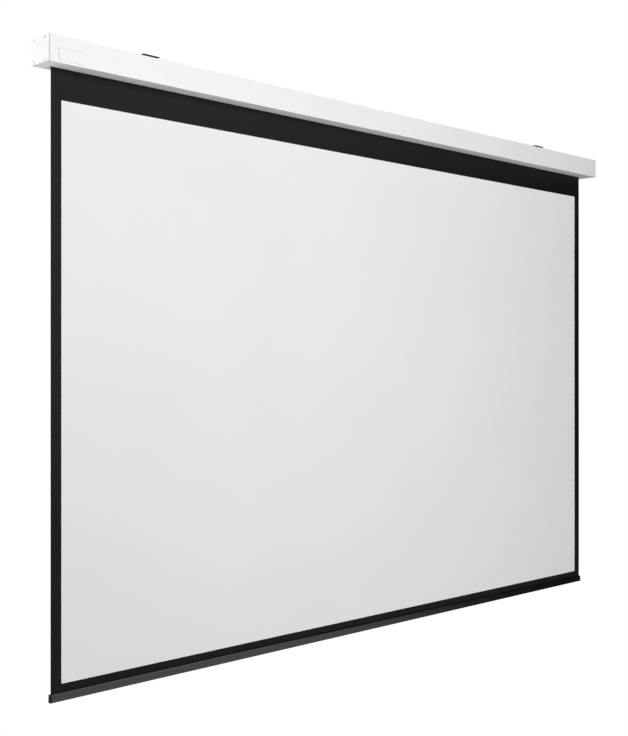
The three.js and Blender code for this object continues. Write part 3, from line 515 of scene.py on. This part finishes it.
# Bare badge plate on a thinner pad, with its front edge rounded
low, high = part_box("badge_plate")
pad_front = high.y - badge_pad
rings = [(badge_pad_inset, high.y), (badge_pad_inset, pad_front), (0.0, pad_front)]
for step in range(badge_edge_steps + 1):
    angle = step / badge_edge_steps * math.pi / 2
    rings.append((badge_edge * (1 - math.cos(angle)), low.y + badge_edge * (1 - math.sin(angle))))
rings.append((badge_edge + badge_flat, low.y))
points = []
for inset, depth in rings:
    ring = rounded_rectangle(middle("badge_plate"), (high.x - low.x) / 2 - inset,
                             (high.z - low.z) / 2 - inset, badge_corner - inset)
    points += [(x, depth, z) for x, z in ring]
piece("front_badge", ringed("front_badge", points, len(rings)), "white_plastic", "case",
      "badge_plate")


# Sheet, roll and hem
roller_low, roller_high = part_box("roller_tube")
roller = (roller_low + roller_high) / 2
sheet_low, sheet_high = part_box("screen_fabric")
image_low, image_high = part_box("image_surface")
bar_low, bar_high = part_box("bar_profile")
hang_y = (bar_low.y + bar_high.y) / 2
sheet_end = bar_high.z - sheet_end_in_bar


def sway(x, z):
    """How far the hanging sheet stands off its plane, which is nothing near the roller and bar."""
    nearest = min(abs(z - sheet_high.z), abs(z - sheet_end))
    held = min(1.0, nearest / sway_fade)
    wave = noise.noise(Vector((x * sway_waves[0], 0.0, z * sway_waves[1])))
    ripple = noise.noise(Vector((x * sway_ripples[0], sway_ripple_start, z * sway_ripples[1])))
    slow = wave + sway_ripple_share * ripple
    return sway_depth * slow * held * held * (3 - 2 * held)


def hung(name, left, right, top, bottom, front, back):
    """A closed thin sheet that hangs in the X and Z directions, with the sway of the cloth."""
    across, down = sheet_columns, sheet_rows
    points, faces = [], []
    for face in (front, back):
        for row in range(down + 1):
            z = top + (bottom - top) * row / down
            for column in range(across + 1):
                x = left + (right - left) * column / across
                points.append((x, face + sway(x, z), z))
    layer = (across + 1) * (down + 1)

    def at(face, row, column):
        return face * layer + row * (across + 1) + column

    def rim(here, there):
        faces.append((at(0, *here), at(1, *here), at(1, *there), at(0, *there)))

    for row in range(down):
        for column in range(across):
            corners = ((row, column), (row, column + 1), (row + 1, column + 1), (row + 1, column))
            faces.append(tuple(at(0, *c) for c in corners))
            faces.append(tuple(at(1, *c) for c in reversed(corners)))
    for column in range(across):
        for row in (0, down):
            rim((row, column), (row, column + 1))
    for row in range(down):
        for column in (0, across):
            rim((row, column), (row + 1, column))
    return new_mesh(name, points, faces)


def strip(name, line, thick, left, right):
    """A cloth strip whose section follows a line of (y, z) points, run out along X."""
    sides = ([], [])
    for i, (y, z) in enumerate(line):
        before, after = line[max(i - 1, 0)], line[min(i + 1, len(line) - 1)]
        way = Vector((after[0] - before[0], after[1] - before[1])).normalized()
        for side, sign in zip(sides, (1, -1)):
            side.append((y - sign * way.y * thick / 2, z + sign * way.x * thick / 2))
    count = len(line)
    points = [(x, y, z) for x in (left, right) for side in sides for y, z in side]
    faces = []
    for i in range(count - 1):
        for side in (0, count):
            faces.append((side + i, side + i + 1, 2 * count + side + i + 1, 2 * count + side + i))
        for end in (0, 2 * count):
            faces.append((end + i, end + i + 1, end + count + i + 1, end + count + i))
    for i in (0, count - 1):
        faces.append((i, count + i, 3 * count + i, 2 * count + i))
    return new_mesh(name, points, faces)


front, back = hang_y - backing_thick / 2, hang_y + backing_thick / 2
backing = piece(
    "sheet_backing",
    hung("sheet_backing", sheet_low.x, sheet_high.x, roller.z, sheet_end, front, back),
    "black_fabric", "case", "screen_fabric")
image = piece(
    "sheet_image",
    hung("sheet_image", image_low.x, image_high.x, image_high.z, image_low.z,
         front - image_thick, front + image_sunk),
    "white_fabric", "case", "image_surface")

rod_z = middle("hem_rod").z
hem_line = [(hang_y, bar_high.z - below) for below in hem_ends_below]
for step in range(hem_steps):
    angle = math.radians(hem_start + hem_sweep * step / (hem_steps - 1))
    hem_line.append((hang_y + hem_radius * math.cos(angle), rod_z + hem_radius * math.sin(angle)))
hem = piece("sheet_hem", strip("sheet_hem", hem_line, backing_thick, sheet_low.x, sheet_high.x),
            "black_fabric", "bottom_bar")

outer_layer = hang_y - roller.y
roll_line = []
steps = round(turn_steps * spare_turns)
for step in range(steps + 1):
    angle = 2 * math.pi * spare_turns * step / steps
    radius = outer_layer - layer_pitch * spare_turns * step / steps
    roll_line.append((roller.y + radius * math.cos(angle), roller.z + radius * math.sin(angle)))
for share in tail_shares:
    radius = outer_layer - layer_pitch * spare_turns - tail_into_tube * share
    roll_line.append((roller.y + radius * math.cos(angle), roller.z + radius * math.sin(angle)))
roll = piece(
    "sheet_on_roller",
    strip("sheet_on_roller", roll_line, backing_thick, sheet_low.x, sheet_high.x),
    "black_fabric", "roller", "wound_fabric")

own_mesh(backing)
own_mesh(image)


# Camera
camera_data = bpy.data.cameras.new("camera")
camera_data.lens = camera_lens
camera_data.sensor_width = long_side
camera = bpy.data.objects.new("camera", camera_data)
camera.location = camera_place
camera.rotation_euler = [math.radians(a) for a in camera_turn]
camera_data.clip_end = camera_reach
scene.collection.objects.link(camera)
scene.camera = camera
scene.view_settings.view_transform = "Standard"


def lit_backdrop(tree, soft, bright, output):
    """Shows the backdrop at full white to the camera, and its own light to the object."""
    path = add(tree, "LightPath").outputs["Is Camera Ray"]
    shader = add(tree, "MixShader", {0: path, 1: soft, 2: bright}).outputs[0]
    tree.links.new(shader, tree.nodes[output].inputs["Surface"])


def ramp(tree, value, reach, low, high):
    """Goes softly from low to high as the value crosses its reach."""
    limits = {"Value": value, "From Min": reach[0], "From Max": reach[1],
              "To Min": low, "To Max": high}
    return add(tree, "MapRange", limits, interpolation_type="SMOOTHSTEP").outputs[0]


# Floor: the light it gives runs out to the right, and the camera sees it plain white
floor_mesh = bpy.data.meshes.new("studio_floor")
corners = [(-floor_half, -floor_half), (floor_half, -floor_half),
           (floor_half, floor_half), (-floor_half, floor_half)]
floor_mesh.from_pydata([(x, y, floor_height) for x, y in corners], [], [(0, 1, 2, 3)])
floor = bpy.data.objects.new("studio_floor", floor_mesh)
scene.collection.objects.link(floor)
floor_paint = bpy.data.materials.new("studio_floor")
floor_paint.use_nodes = True
tree = floor_paint.node_tree
tree.nodes.remove(tree.nodes["Principled BSDF"])
spot = add(tree, "SeparateXYZ", {"Vector": add(tree, "TexCoord").outputs["Object"]})
fore = ramp(tree, spot.outputs["X"], floor_fade, floor_light, floor_far_light)
rear = ramp(tree, spot.outputs["X"], rear_fade, floor_rear_light, floor_rear_far_light)
behind = ramp(tree, spot.outputs["Y"], floor_turn, 0.0, 1.0)
level = add(tree, "Mix", {"Factor": behind, "A": fore, "B": rear}).outputs[0]
dim = add(tree, "Emission", {"Color": grey(1.0), "Strength": level}).outputs[0]
white = add(tree, "Emission", {"Color": grey(1.0), "Strength": backdrop}).outputs[0]
lit_backdrop(tree, dim, white, "Material Output")
floor_mesh.materials.append(floor_paint)

# Surroundings: a white sweep behind the object, a dark room in front of it
world = bpy.data.worlds.new("studio")
world.use_nodes = True
scene.world = world
tree = world.node_tree
tree.nodes.remove(tree.nodes["Background"])
way = add(tree, "SeparateXYZ", {"Vector": add(tree, "TexCoord").outputs["Generated"]})
level = ramp(tree, way.outputs["Y"], room_turn, room_light, backdrop)
room = add(tree, "Background", {"Color": grey(1.0), "Strength": level}).outputs[0]
sky = add(tree, "Background", {"Color": grey(1.0), "Strength": backdrop}).outputs[0]
lit_backdrop(tree, room, sky, "World Output")


def softbox(name, place, target, size, power, lights=True, reflects=True):
    """A rectangular light. Where it lights nothing it is a card, seen only in the gloss."""
    light = bpy.data.lights.new(name, "AREA")
    light.shape = "RECTANGLE"
    light.size, light.size_y = size
    light.energy = power
    made = bpy.data.objects.new(name, light)
    made.location = place
    made.rotation_euler = (Vector(target) - Vector(place)).to_track_quat("-Z", "Y").to_euler()
    made.visible_camera = False
    made.visible_diffuse = lights
    made.visible_glossy = reflects
    scene.collection.objects.link(made)


softbox("main_softbox", place=(-0.22, -4.85, -0.20), target=(-0.22, 0.0, -0.20),
        size=(1.0, 3.0), power=161.5, reflects=False)
softbox("near_softbox", place=(-1.97, -1.75, -0.05), target=(-1.97, 0.0, -0.05),
        size=(0.5, 0.5), power=5.5, reflects=False)
softbox("left_softbox", place=(-4.8, 0.4, -0.3), target=(-1.6, 0.0, -0.1),
        size=(1.4, 1.4), power=50.0)
softbox("front_card", place=(1.4, -4.85, 0.20), target=(1.4, 0.0, 0.20),
        size=(5.2, 3.6), power=132.0, lights=False)
